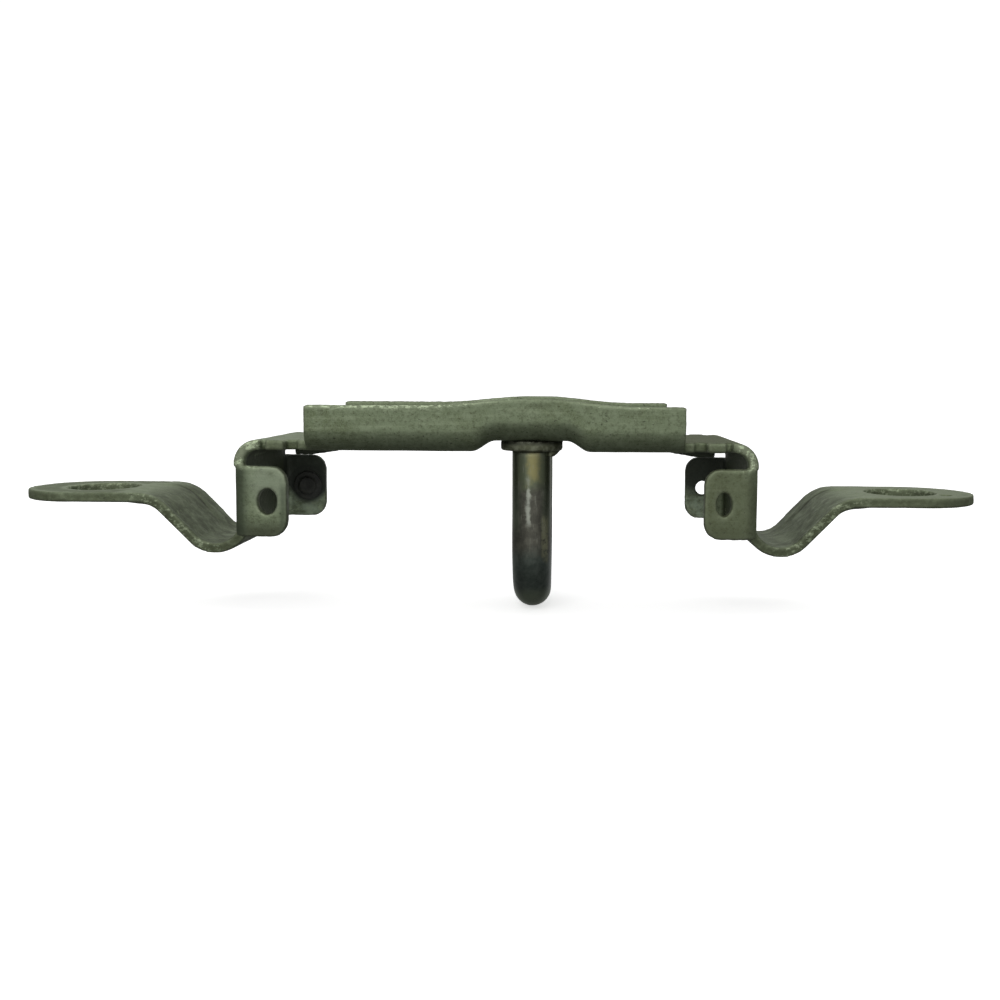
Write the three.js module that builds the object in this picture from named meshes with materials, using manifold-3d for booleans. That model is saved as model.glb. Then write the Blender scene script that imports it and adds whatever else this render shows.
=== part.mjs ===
// Striker bracket for a latch: a pressed steel strap with a round-wire loop riveted through it.
// Millimetres. +X runs along the bracket, +Z points away from the loop, and the origin lies midway
// between the two fixing holes, in the plane of the feet's upper faces.
import * as THREE from 'three';
import { mergeVertices } from 'three/addons/utils/BufferGeometryUtils.js';
import Module from 'manifold-3d';

const wasm = await Module();
wasm.setup();

// ---------------------------------------------------------------- driving dimensions

const SHEET = 2.0; // thickness of the pressed strap

// Body: the plate between the two end walls, with its long edges turned up into a channel.
const WALL_SPAN = 106.0; // over the outer faces of the end walls
const PLATE_RISE = 9.4; // underside of the plate above the feet's upper faces
const PLATE_BEND = 2.8; // inside radius, plate to wall
const PLATE_STEP = 3.85; // plate's long edge in from the flange's outer face
const CHANNEL_LENGTH = 75.6;
const CHANNEL_HEIGHT = 9.2; // from the floor's underside to the flanges' tops
const CHANNEL_BEND = 2.8; // inside radius, floor to flange

// Swell pressed up in the channel round the loop.
const SWELL_X = 7.1; // centre, off the middle of the bracket
const SWELL_MARGIN = 1.0; // level floor past each side of a collar
const SWELL_RAMP = 4.6; // length of each ramp of the floor
const SWELL_LIFT = 2.2;
const RIM_LIFT = 1.5; // what reaches the flanges' tops
const RIM_RAMP = 15.0; // length of each ramp of the rims

// Stub tabs on the plate's long edges, each between two relief notches.
const NOTCH_START = 2.2; // from the flange's end
const NOTCH_TO_TAB = 2.5;
const TAB_LENGTH = 3.8;
const TAB_REACH = 1.0;
const NOTCH_WIDTH = 1.4;
const NOTCH_DEPTH = 1.6;

// Lugs: the plate's rear edge turned down over each rear ear.
const LUG_FROM_WALL = 4.6; // from the wall's outer face to the lug
const LUG_LENGTH = 4.2;
const LUG_GAP = 0.3; // between a lug and the ear below it
const LUG_WEB = 7.5; // length of the tapered web from the lug towards the channel
const LUG_WEB_RISE = 1.2; // of the web's lower edge over that length

// Ears: the walls' side edges turned inwards.
const EAR_PROUD = 0.95; // ear's outer face past the plate's long edge
const EAR_REACH = 10.9; // from the wall's outer face to the ear's free edge
const EAR_DROP = 3.3; // top of the ears below the plate's underside
const EAR_HEIGHT = 14.2;
const EAR_BEND = 1.0; // inside radius
const EAR_CORNER = 3.2;
const EAR_HOLE_FROM_WALL = 7.0;
const EAR_SLIT = 0.7; // between an ear's lower part and the leg strip

// Legs: valley, slope, shoulder and foot.
const STRIP_WIDTH = 25.2;
const VALLEY_BEND = 5.6; // inside radius
const VALLEY_DROP = 14.2; // valley's bend centre below the plate's underside
const SLOPE_ANGLE = 45.6; // degrees
const SHOULDER_BEND = 6.5; // inside radius
const FOOT_FLAT = 27.2; // from the shoulder to the tip
const FOOT_CORNER = 12.6;
const FIXING_HOLE = 15.0; // diameter
const FIXING_FROM_TIP = 15.2; // hole centre to the foot's tip
const GAUGE_HOLE = 2.6; // small hole in the right foot only
const GAUGE_FROM_TIP = 7.1;
const GAUGE_OFFSET = 5.6;

// Loop: bent round wire, with its ends turned down to tenons that are riveted over.
const WIRE = 8.0; // diameter
const LOOP_SPREAD = 24.0; // centre to centre of the legs
const LOOP_DEPTH = 34.6; // plate's underside to the bottom of the loop
const TENON = 6.0; // diameter
const TENON_CLEARANCE = 0.15; // round a tenon, in the floor and in the collar
const HEAD = 8.2; // diameter of the riveted head
const HEAD_MARGIN = 0.1; // level floor past each head, up to the channel's bend
const HEAD_HEIGHT = 1.8;
const HEAD_RIM = 0.54; // height of the head's upright rim, below its dome
const COLLAR = 12.7; // diameter
const COLLAR_HEIGHT = 2.15;
const COLLAR_CHAMFER = 0.4; // round the collar's lower edge

// Plug in the hole of the left rear ear.
const PLUG_CLEARANCE = 0.15;
const PLUG_HEAD = 6.6; // diameter
const PLUG_HEAD_HEIGHT = 0.7;
const PLUG_BUTTON = 3.8; // diameter of the button on the head
const PLUG_BUTTON_HEIGHT = 0.6;
const PLUG_TAIL = 0.8; // past the ear's far face

// The ears' holes, width by height, by side: -1 is the left end, +1 the right end.
const EAR_HOLES = {
  front: { '-1': [4.0, 5.3], 1: [3.2, 4.9] },
  rear: { '-1': [3.3, 3.3], 1: [3.3, 3.3] },
};

const BEND_STEPS = 7; // facets in a bend
const HOLE_STEPS = 28; // facets round a hole or a pin
const LOOP_STEPS = 20; // facets along the loop's half circle
const DOME_STEPS = 5; // facets from a head's rim to its crown
const RAMP_STEPS = 6; // facets along each ramp of the floor
const RIM_STEPS = 4; // facets along the rest of each ramp of the rims
const OVERLAP = 1.0; // how far joined solids run into each other

// ---------------------------------------------------------------- derived places

const plateUnder = PLATE_RISE;
const plateMiddle = plateUnder + SHEET / 2;
const channelWidth = LOOP_SPREAD + HEAD + 2 * (HEAD_MARGIN + CHANNEL_BEND + SHEET);
const plateWidth = channelWidth - 2 * PLATE_STEP;
const swellFlat = COLLAR + 2 * SWELL_MARGIN;
const wallX = WALL_SPAN / 2; // wall's outer face
const wallMiddleX = wallX - SHEET / 2;
const slope = THREE.MathUtils.degToRad(SLOPE_ANGLE);
const valley = new THREE.Vector2(wallX + VALLEY_BEND, plateUnder - VALLEY_DROP);
const earTop = plateUnder - EAR_DROP;
const earBottom = earTop - EAR_HEIGHT;
const earY = plateWidth / 2 + EAR_PROUD; // ear's outer face
const earHole = new THREE.Vector2(wallX - EAR_HOLE_FROM_WALL, (earTop + earBottom) / 2);
const floorTopInSwell = plateUnder + SWELL_LIFT + SHEET;
const floorUnderInSwell = plateUnder + SWELL_LIFT;

// ---------------------------------------------------------------- helpers

const v2 = (x, y) => new THREE.Vector2(x, y);

// A closed three.js geometry as a solid.
function solid(geometry) {
  const bare = geometry.index ? geometry.toNonIndexed() : geometry.clone();
  bare.deleteAttribute('normal');
  bare.deleteAttribute('uv');
  const merged = mergeVertices(bare, 1e-5);
  return new wasm.Manifold(new wasm.Mesh({
    numProp: 3,
    vertProperties: merged.attributes.position.array,
    triVerts: new Uint32Array(merged.index.array),
  }));
}

function mesh(name, shape, material) {
  const { vertProperties, triVerts, numProp } = shape.getMesh();
  const geometry = new THREE.BufferGeometry();
  const position = new THREE.InterleavedBuffer(vertProperties, numProp);
  geometry.setAttribute('position', new THREE.InterleavedBufferAttribute(position, 3, 0));
  geometry.setIndex(new THREE.BufferAttribute(triVerts, 1));
  const flat = geometry.toNonIndexed();
  flat.computeVertexNormals();
  const made = new THREE.Mesh(flat, material);
  made.name = name;
  return made;
}

// The section of a sheet that follows straight runs between corners, bent at each inner corner.
function sheetSection(corners, insideRadii) {
  const sides = [[], []];
  const half = SHEET / 2;
  const put = (point, normal) => {
    sides[0].push(point.clone().addScaledVector(normal, half));
    sides[1].push(point.clone().addScaledVector(normal, -half));
  };
  const normalOf = (from, to) => {
    const along = to.clone().sub(from).normalize();
    return v2(-along.y, along.x);
  };
  put(corners[0], normalOf(corners[0], corners[1]));
  for (let i = 1; i < corners.length - 1; i += 1) {
    const before = normalOf(corners[i - 1], corners[i]);
    const after = normalOf(corners[i], corners[i + 1]);
    const turn = Math.atan2(before.cross(after), before.dot(after));
    const radius = insideRadii[i - 1] + half;
    const back = v2(before.y, -before.x).multiplyScalar(-radius * Math.tan(Math.abs(turn) / 2));
    const side = Math.sign(turn);
    const centre = corners[i].clone().add(back).addScaledVector(before, side * radius);
    for (let k = 0; k <= BEND_STEPS; k += 1) {
      const normal = before.clone().rotateAround(v2(0, 0), (turn * k) / BEND_STEPS);
      put(centre.clone().addScaledVector(normal, -side * radius), normal);
    }
  }
  const last = corners.length - 1;
  put(corners[last], normalOf(corners[last - 1], corners[last]));
  return [...sides[0], ...sides[1].reverse()];
}

const mirrored = (points, side) => points.map((p) => v2(side * p.x, p.y));

// Plan outline raised from z0 to z1.
function upright(points, z0, z1) {
  const geometry = new THREE.ExtrudeGeometry(new THREE.Shape(points), {
    depth: z1 - z0, bevelEnabled: false, curveSegments: HOLE_STEPS / 4,
  });
  return solid(geometry.translate(0, 0, z0));
}

// Side outline, in X and Z, drawn out from y0 to y1.
function across(points, y0, y1) {
  const geometry = new THREE.ExtrudeGeometry(new THREE.Shape(points), {
    depth: y1 - y0, bevelEnabled: false, curveSegments: HOLE_STEPS / 4,
  });
  return solid(geometry.rotateX(Math.PI / 2).translate(0, y1, 0));
}

function ellipse(centre, width, height) {
  const curve = new THREE.EllipseCurve(centre.x, centre.y, width / 2, height / 2);
  return curve.getPoints(HOLE_STEPS).slice(0, -1);
}

// A box between two plan corners, with chosen corners rounded.
function roundedBox(low, high, radii) {
  const [r0, r1, r2, r3] = radii; // low-low, high-low, high-high, low-high
  const path = new THREE.Path();
  path.moveTo(low.x + r0, low.y);
  path.lineTo(high.x - r1, low.y);
  if (r1) path.absarc(high.x - r1, low.y + r1, r1, -Math.PI / 2, 0);
  path.lineTo(high.x, high.y - r2);
  if (r2) path.absarc(high.x - r2, high.y - r2, r2, 0, Math.PI / 2);
  path.lineTo(low.x + r3, high.y);
  if (r3) path.absarc(low.x + r3, high.y - r3, r3, Math.PI / 2, Math.PI);
  path.lineTo(low.x, low.y + r0);
  if (r0) path.absarc(low.x + r0, low.y + r0, r0, Math.PI, 1.5 * Math.PI);
  return distinct(path.getPoints(BEND_STEPS));
}

// The points without neighbours that coincide.
function distinct(points) {
  return points.filter((p, i) => p.distanceTo(points[(i + 1) % points.length]) > 1e-4);
}

// A turned piece about an upright axis, from (radius, height) pairs that start and end on the axis.
function turned(profile) {
  const geometry = new THREE.LatheGeometry(profile.map(([r, z]) => v2(r, z)), HOLE_STEPS);
  return geometry.rotateX(Math.PI / 2);
}

const joined = (solids) => solids.reduce((all, one) => all.add(one));
const smoothstep = (t) => THREE.MathUtils.smoothstep(t, 0, 1);

// ---------------------------------------------------------------- bracket

// How far the pressing lifts the floor.
function swell(x) {
  const outside = Math.abs(x - SWELL_X) - swellFlat / 2;
  return SWELL_LIFT * (1 - smoothstep(Math.max(outside, 0) / SWELL_RAMP));
}

// How far it lifts the flanges' tops, which is longer and softer than the floor's.
function rimSwell(x) {
  const reach = swellFlat / 2 + RIM_RAMP;
  const t = Math.min(Math.abs(x - SWELL_X) / reach, 1);
  return RIM_LIFT * (0.5 + 0.5 * Math.cos(Math.PI * t));
}

// Places along the channel: close together on the swell, far apart elsewhere.
function channelStations() {
  const half = CHANNEL_LENGTH / 2;
  const edge = swellFlat / 2;
  const stations = [-half, half];
  for (const side of [-1, 1]) {
    for (let k = 0; k <= RAMP_STEPS; k += 1) {
      stations.push(SWELL_X + side * (edge + (SWELL_RAMP * k) / RAMP_STEPS));
    }
    for (let k = 1; k <= RIM_STEPS; k += 1) {
      stations.push(SWELL_X + side * (edge + SWELL_RAMP + ((RIM_RAMP - SWELL_RAMP) * k) / RIM_STEPS));
    }
    stations.push(SWELL_X + (side * edge) / 3);
  }
  return stations.filter((x) => Math.abs(x) <= half).sort((a, b) => a - b);
}

function channel() {
  const flangeY = (channelWidth - SHEET) / 2;
  const top = plateUnder + CHANNEL_HEIGHT;
  const section = sheetSection(
    [v2(-flangeY, top), v2(-flangeY, plateMiddle), v2(flangeY, plateMiddle), v2(flangeY, top)],
    [CHANNEL_BEND, CHANNEL_BEND],
  );
  const stations = channelStations();
  const geometry = new THREE.ExtrudeGeometry(new THREE.Shape(section), {
    depth: 1, steps: stations.length - 1, bevelEnabled: false,
  });
  const position = geometry.attributes.position;
  for (let i = 0; i < position.count; i += 1) {
    const x = stations[Math.round(position.getZ(i) * (stations.length - 1))];
    const y = position.getX(i);
    const z = position.getY(i);
    const height = THREE.MathUtils.clamp((z - plateUnder - SHEET) / (CHANNEL_HEIGHT - SHEET), 0, 1);
    const lift = THREE.MathUtils.lerp(swell(x), rimSwell(x), height);
    position.setXYZ(i, x, y, z + lift);
  }
  return solid(geometry);
}

// The plate's outline on one side of the bracket, with the tabs and notches of both long edges.
function plateOutline(side) {
  const half = plateWidth / 2;
  const start = CHANNEL_LENGTH / 2 - OVERLAP;
  const notchIn = CHANNEL_LENGTH / 2 + NOTCH_START;
  const tabIn = notchIn + NOTCH_TO_TAB;
  const tabOut = tabIn + TAB_LENGTH;
  const notchOut = tabOut + NOTCH_WIDTH;
  const edge = [
    v2(start, half),
    v2(notchIn, half),
    v2(notchIn, half - NOTCH_DEPTH),
    v2(tabIn, half - NOTCH_DEPTH),
    v2(tabIn, half + TAB_REACH),
    v2(tabOut, half + TAB_REACH),
    v2(tabOut, half - NOTCH_DEPTH),
    v2(notchOut, half - NOTCH_DEPTH),
    v2(notchOut, half),
    v2(wallX + OVERLAP, half),
  ];
  return mirrored([...edge, ...edge.map((p) => v2(p.x, -p.y)).reverse()], side);
}

// Plate end and the upper part of the wall, down to the top of the ears. The rear edge is
// relieved where the wall's bend meets the rear ear's.
function plateEnd(side) {
  const section = sheetSection(
    [v2(CHANNEL_LENGTH / 2 - OVERLAP, plateMiddle), v2(wallMiddleX, plateMiddle), v2(wallMiddleX, earTop)],
    [PLATE_BEND],
  );
  const reach = plateWidth / 2 + TAB_REACH + OVERLAP;
  const band = across(mirrored(section, side), -reach, reach);
  const shaped = band.intersect(upright(plateOutline(side), earTop - OVERLAP, plateUnder + SHEET + OVERLAP));
  const bendStart = v2(wallX - SHEET - PLATE_BEND, earY - SHEET - EAR_BEND);
  const relief = roundedBox(bendStart, v2(wallX + OVERLAP, reach), [0, 0, 0, 0]);
  return shaped.subtract(upright(mirrored(relief, side), earTop - OVERLAP, plateUnder));
}

// Lug over a rear ear, with a web that tapers away along the plate's rear edge.
function lug(side) {
  const outer = wallX - LUG_FROM_WALL;
  const inner = outer - LUG_LENGTH;
  const bottom = earTop + LUG_GAP;
  const outline = [
    v2(outer, plateMiddle),
    v2(outer, bottom),
    v2(inner, bottom),
    v2(inner - LUG_WEB, bottom + LUG_WEB_RISE),
    v2(inner - LUG_WEB - SHEET / 2, plateUnder),
    v2(inner - LUG_WEB - SHEET / 2, plateMiddle),
  ];
  const edge = plateWidth / 2 - NOTCH_DEPTH;
  return across(mirrored(outline, side), edge - SHEET, edge);
}

// Corners of the leg's middle line: wall, valley, shoulder and tip.
function legCorners() {
  const radius = VALLEY_BEND + SHEET / 2;
  const touch = valley.clone().add(v2(Math.sin(slope), -Math.cos(slope)).multiplyScalar(radius));
  const footMiddle = -SHEET / 2;
  const valleyCorner = v2(wallMiddleX, touch.y + (wallMiddleX - touch.x) * Math.tan(slope));
  const shoulder = v2(touch.x + (footMiddle - touch.y) / Math.tan(slope), footMiddle);
  const flatStart = shoulder.x + (SHOULDER_BEND + SHEET / 2) * Math.tan(slope / 2);
  const tip = v2(flatStart + FOOT_FLAT, footMiddle);
  return [v2(wallMiddleX, earTop + OVERLAP / 2), valleyCorner, shoulder, tip];
}

const legLine = legCorners();
const tipX = legLine[3].x;
const fixingX = tipX - FIXING_FROM_TIP;

function leg(side) {
  const half = STRIP_WIDTH / 2;
  const section = sheetSection(legLine, [VALLEY_BEND, SHOULDER_BEND]);
  const band = across(mirrored(section, side), -half, half);
  const corner = Math.min(FOOT_CORNER, half);
  const outline = roundedBox(v2(0, -half), v2(tipX, half), [0, corner, corner, 0]);
  const lowest = valley.y - VALLEY_BEND - SHEET;
  const trimmed = band.intersect(upright(mirrored(outline, side), lowest - OVERLAP, plateUnder));
  const hole = upright(ellipse(v2(side * fixingX, 0), FIXING_HOLE, FIXING_HOLE), -SHEET - OVERLAP, OVERLAP);
  return trimmed.subtract(hole);
}

function ear(side, end) {
  const middleY = earY - SHEET / 2;
  const freeX = wallX - EAR_REACH;
  const rootY = STRIP_WIDTH / 2 - OVERLAP;
  const corners = [v2(wallMiddleX, rootY), v2(wallMiddleX, middleY), v2(freeX, middleY)];
  const section = sheetSection(corners, [EAR_BEND]);
  const inPlace = section.map((p) => v2(side * p.x, end * p.y));
  const band = upright(inPlace, earBottom, earTop);
  const rounding = [EAR_CORNER, 0, 0, EAR_CORNER];
  const outline = roundedBox(v2(freeX, earBottom), v2(wallX + OVERLAP, earTop), rounding);
  const cutsY = [end * (rootY - OVERLAP), end * (earY + OVERLAP)].sort((a, b) => a - b);
  const trimmed = band.intersect(across(mirrored(outline, side), ...cutsY));
  const slitY = STRIP_WIDTH / 2 + EAR_SLIT;
  const slit = roundedBox(v2(freeX, -slitY), v2(wallX + OVERLAP, slitY), [0, 0, 0, 0]);
  const freed = trimmed.subtract(upright(mirrored(slit, side), earBottom - OVERLAP, valley.y));
  const [width, height] = EAR_HOLES[end < 0 ? 'front' : 'rear'][side];
  const hole = across(ellipse(v2(side * earHole.x, earHole.y), width, height), ...cutsY);
  return freed.subtract(hole);
}

function bracket() {
  const pieces = [channel()];
  for (const side of [-1, 1]) {
    pieces.push(plateEnd(side), lug(side), leg(side), ear(side, -1), ear(side, 1));
  }
  const hole = TENON + 2 * TENON_CLEARANCE;
  const drilled = [v2(SWELL_X, -LOOP_SPREAD / 2), v2(SWELL_X, LOOP_SPREAD / 2)]
    .map((centre) => upright(ellipse(centre, hole, hole), plateUnder - OVERLAP, floorTopInSwell + OVERLAP));
  const gaugeCentre = v2(tipX - GAUGE_FROM_TIP, -GAUGE_OFFSET);
  const gauge = upright(ellipse(gaugeCentre, GAUGE_HOLE, GAUGE_HOLE), -SHEET - OVERLAP, OVERLAP);
  return joined(pieces).subtract(joined([...drilled, gauge]));
}

// ---------------------------------------------------------------- loop, collars and plug

// The wire's middle line hangs as a U, from one collar to the other.
function wirePath() {
  const half = LOOP_SPREAD / 2;
  const top = floorUnderInSwell - COLLAR_HEIGHT;
  const bendZ = plateUnder - LOOP_DEPTH + WIRE / 2 + half;
  const path = new THREE.CurvePath();
  path.add(new THREE.LineCurve3(new THREE.Vector3(0, -half, top), new THREE.Vector3(0, -half, bendZ)));
  const bottom = [];
  for (let k = 0; k <= LOOP_STEPS; k += 1) {
    const angle = Math.PI + (Math.PI * k) / LOOP_STEPS;
    bottom.push(new THREE.Vector3(0, half * Math.cos(angle), bendZ + half * Math.sin(angle)));
  }
  for (let k = 0; k < LOOP_STEPS; k += 1) path.add(new THREE.LineCurve3(bottom[k], bottom[k + 1]));
  path.add(new THREE.LineCurve3(new THREE.Vector3(0, half, bendZ), new THREE.Vector3(0, half, top)));
  return path;
}

// A solid swept along the wire's middle line, ring by ring, with a flat cap on each end.
function wire() {
  const points = wirePath().curves.map((c) => c.v1);
  points.push(wirePath().curves.at(-1).v2);
  const sides = HOLE_STEPS;
  const vertices = [];
  points.forEach((point, i) => {
    const before = points[Math.max(i - 1, 0)];
    const after = points[Math.min(i + 1, points.length - 1)];
    const along = after.clone().sub(before).normalize();
    if (i === 0 || i === points.length - 1) along.set(0, 0, i === 0 ? -1 : 1);
    const outward = new THREE.Vector3(0, along.z, -along.y);
    for (let k = 0; k < sides; k += 1) {
      const angle = (2 * Math.PI * k) / sides;
      const ring = outward.clone().multiplyScalar((Math.cos(angle) * WIRE) / 2);
      vertices.push(point.clone().add(ring).add(new THREE.Vector3((Math.sin(angle) * WIRE) / 2, 0, 0)));
    }
  });
  const faces = [];
  for (let i = 0; i < points.length - 1; i += 1) {
    for (let k = 0; k < sides; k += 1) {
      const a = i * sides + k;
      const b = i * sides + ((k + 1) % sides);
      faces.push(a, b + sides, b, a, a + sides, b + sides);
    }
  }
  const last = (points.length - 1) * sides;
  for (let k = 1; k < sides - 1; k += 1) faces.push(0, k, k + 1, last, last + k + 1, last + k);
  const geometry = new THREE.BufferGeometry().setFromPoints(vertices);
  geometry.setIndex(faces);
  const made = solid(geometry);
  return made.translate([SWELL_X, 0, 0]);
}

// Tenon through collar and floor, with its end riveted over to a domed head.
function tenon(y) {
  const start = floorUnderInSwell - COLLAR_HEIGHT;
  const dome = [];
  for (let k = 0; k <= DOME_STEPS; k += 1) {
    const angle = (Math.PI / 2) * (k / DOME_STEPS);
    const height = HEAD_RIM + (HEAD_HEIGHT - HEAD_RIM) * Math.sin(angle);
    dome.push([(HEAD / 2) * Math.cos(angle), floorTopInSwell + height]);
  }
  dome[DOME_STEPS][0] = 0;
  const profile = [
    [0, start - OVERLAP],
    [TENON / 2, start - OVERLAP],
    [TENON / 2, floorTopInSwell],
    [HEAD / 2, floorTopInSwell],
    ...dome,
  ];
  return solid(turned(profile).translate(SWELL_X, y, 0));
}

function strikerLoop() {
  const half = LOOP_SPREAD / 2;
  return joined([wire(), tenon(-half), tenon(half)]);
}

function collar(y) {
  const bore = TENON / 2 + TENON_CLEARANCE;
  const low = floorUnderInSwell - COLLAR_HEIGHT;
  const chamfer = Math.min(COLLAR_CHAMFER, COLLAR_HEIGHT / 4);
  const rim = COLLAR / 2;
  const profile = [
    [bore, low],
    [rim - chamfer, low],
    [rim, low + chamfer],
    [rim, floorUnderInSwell],
    [bore, floorUnderInSwell],
    [bore, low],
  ];
  return solid(turned(profile).translate(SWELL_X, y, 0));
}

// The plug is turned about Y: its button faces the front ear, its tail stands past the rear face.
function earPlug() {
  const [width] = EAR_HOLES.rear[-1];
  const shank = width / 2 - PLUG_CLEARANCE;
  const profile = [
    [0, -PLUG_HEAD_HEIGHT - PLUG_BUTTON_HEIGHT],
    [PLUG_BUTTON / 2, -PLUG_HEAD_HEIGHT - PLUG_BUTTON_HEIGHT],
    [PLUG_BUTTON / 2, -PLUG_HEAD_HEIGHT],
    [PLUG_HEAD / 2, -PLUG_HEAD_HEIGHT],
    [PLUG_HEAD / 2, 0],
    [shank, 0],
    [shank, SHEET + PLUG_TAIL],
    [0, SHEET + PLUG_TAIL],
  ];
  const geometry = turned(profile).rotateX(-Math.PI / 2);
  return solid(geometry.translate(-earHole.x, earY - SHEET, earHole.y));
}

// ---------------------------------------------------------------- assembly

function finish(color, roughness, metalness) {
  return new THREE.MeshStandardMaterial({ color, roughness, metalness });
}

const zincedSteel = finish(0x6d7562, 0.55, 0.8);
const wornSteel = finish(0x54544c, 0.35, 0.9);
const darkPlug = finish(0x1c1d1b, 0.6, 0.2);

const group = new THREE.Group();
group.add(mesh('bracket', bracket(), zincedSteel));
group.add(mesh('striker_loop', strikerLoop(), wornSteel));
group.add(mesh('front_collar', collar(-LOOP_SPREAD / 2), wornSteel));
group.add(mesh('rear_collar', collar(LOOP_SPREAD / 2), wornSteel));
group.add(mesh('ear_plug', earPlug(), darkPlug));

export default group;
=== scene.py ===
"""A latch's striker bracket: a pressed, zinc-plated steel strap with a worn wire loop riveted in it.

Shapes are worked out in millimetres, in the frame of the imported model, and made in metres.
"""
import math

import bmesh
import bpy
import numpy as np
from mathutils import Matrix, Vector, noise
from mathutils.bvhtree import BVHTree


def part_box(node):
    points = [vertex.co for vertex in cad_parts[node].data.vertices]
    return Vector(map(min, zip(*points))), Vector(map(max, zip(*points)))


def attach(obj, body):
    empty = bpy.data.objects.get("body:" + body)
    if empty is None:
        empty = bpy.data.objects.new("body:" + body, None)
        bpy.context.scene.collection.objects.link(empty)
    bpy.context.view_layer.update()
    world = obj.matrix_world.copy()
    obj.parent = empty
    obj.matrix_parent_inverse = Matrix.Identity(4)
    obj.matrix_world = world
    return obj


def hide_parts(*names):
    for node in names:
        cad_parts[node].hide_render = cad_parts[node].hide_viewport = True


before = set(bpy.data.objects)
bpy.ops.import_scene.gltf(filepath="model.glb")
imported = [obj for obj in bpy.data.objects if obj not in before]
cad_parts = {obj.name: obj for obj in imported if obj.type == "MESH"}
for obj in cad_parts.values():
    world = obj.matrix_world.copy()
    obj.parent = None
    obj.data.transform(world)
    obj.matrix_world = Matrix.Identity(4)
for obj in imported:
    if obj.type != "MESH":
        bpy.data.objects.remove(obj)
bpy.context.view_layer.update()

MM = 0.001
STEEL_LOW, STEEL_HIGH = (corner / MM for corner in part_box("bracket"))
LOOP_LOW, LOOP_HIGH = (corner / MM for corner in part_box("striker_loop"))
COLLAR_LOW, COLLAR_HIGH = (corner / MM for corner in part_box("front_collar"))
PLUG_LOW, PLUG_HIGH = (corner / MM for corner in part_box("ear_plug"))

# ---------------------------------------------------------------- sizes, in millimetres

SHEET = 2.0
TIP_X = STEEL_HIGH.x
CHANNEL_HALF_WIDTH = STEEL_HIGH.y

PLATE_UNDER = 9.4
PLATE_BEND = 2.8
PLATE_HALF_WIDTH = CHANNEL_HALF_WIDTH - 3.85
WALL_X = 53.0
CHANNEL_HALF_LENGTH = 37.8
CHANNEL_HEIGHT = 9.2
CHANNEL_BEND = 2.8

SWELL_HALF_FLAT = 7.35
SWELL_RAMP = 4.6
SWELL_LIFT = 2.2
RIM_LIFT = 1.5
RIM_RAMP = 15.0

NOTCH_START = 2.2
NOTCH_TO_TAB = 2.5
TAB_LENGTH = 3.8
TAB_REACH = 1.0
NOTCH_WIDTH = 1.4
NOTCH_DEPTH = 1.6

LUG_FROM_WALL = 4.6
LUG_LENGTH = 4.2
LUG_GAP = 0.3
LUG_WEB = 7.5
LUG_WEB_RISE = 1.2

EAR_Y = PLATE_HALF_WIDTH + 0.95
EAR_REACH = 10.9
EAR_TOP = PLATE_UNDER - 3.3
EAR_BOTTOM = EAR_TOP - 14.2
EAR_BEND = 1.0
EAR_CORNER = 3.2
EAR_SLIT = 0.7
EAR_HOLE_X = WALL_X - 7.0
EAR_HOLE_Z = (EAR_TOP + EAR_BOTTOM) / 2
EAR_HOLES = {(-1, -1): (4.0, 5.3), (1, -1): (3.2, 4.9), (-1, 1): (3.3, 3.3), (1, 1): (3.3, 3.3)}

STRIP_HALF_WIDTH = 12.6
VALLEY_BEND = 5.6
VALLEY_Z = PLATE_UNDER - 14.2
SLOPE = math.radians(45.6)
SHOULDER_BEND = 6.5
FIXING_HOLE = 15.0
FIXING_X = TIP_X - 15.2
GAUGE_HOLE = 2.6
GAUGE_X = TIP_X - 7.1
GAUGE_Y = -5.6

WIRE = 8.0
LOOP_X = (LOOP_LOW.x + LOOP_HIGH.x) / 2
LEG_Y = 12.0
TENON = 6.0
TENON_HOLE = 6.3
HEAD = 8.2
FLOOR_UNDER = PLATE_UNDER + SWELL_LIFT
FLOOR_TOP = FLOOR_UNDER + SHEET
WELD_DROP = 1.2  # how far the bead of weld may hang below its collar

VOXEL = 0.36  # grid that the bracket's solids are merged on
COLLAR_VOXEL = 0.2
SMOOTHING_LOSS = 0.04  # that softening takes off the bracket's faces
OVERLAP = 1.0
DISH_DEPTH = 0.6
CREASE_DEPTH = 0.3
SHARP = 0.16  # average bend between neighbours at an edge


# ---------------------------------------------------------------- outlines and solids

def flat(x, y):
    return Vector((x, y))


def turned_by(vector, angle):
    return Matrix.Rotation(angle, 2) @ vector


def sheet_section(corners, inside_radii, steps=16):
    """The closed outline of a sheet that is bent at each inner corner of a line."""
    sides = ([], [])

    def put(point, normal):
        sides[0].append(point + normal * SHEET / 2)
        sides[1].append(point - normal * SHEET / 2)

    def normal_of(start, end):
        along = (end - start).normalized()
        return flat(-along.y, along.x)

    put(corners[0], normal_of(corners[0], corners[1]))
    for before, corner, after, inside in zip(corners, corners[1:], corners[2:], inside_radii):
        first, second = normal_of(before, corner), normal_of(corner, after)
        turn = math.atan2(first.x * second.y - first.y * second.x, first.dot(second))
        radius = inside + SHEET / 2
        side = math.copysign(1, turn)
        back = flat(first.y, -first.x) * (-radius * math.tan(abs(turn) / 2))
        centre = corner + back + first * side * radius
        for k in range(steps + 1):
            normal = turned_by(first, turn * k / steps)
            put(centre - normal * side * radius, normal)
    put(corners[-1], normal_of(corners[-2], corners[-1]))
    return sides[0] + sides[1][::-1]


def oval(x, y, width, height, steps=48):
    angles = (2 * math.pi * k / steps for k in range(steps))
    return [flat(x + width / 2 * math.cos(a), y + height / 2 * math.sin(a)) for a in angles]


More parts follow.
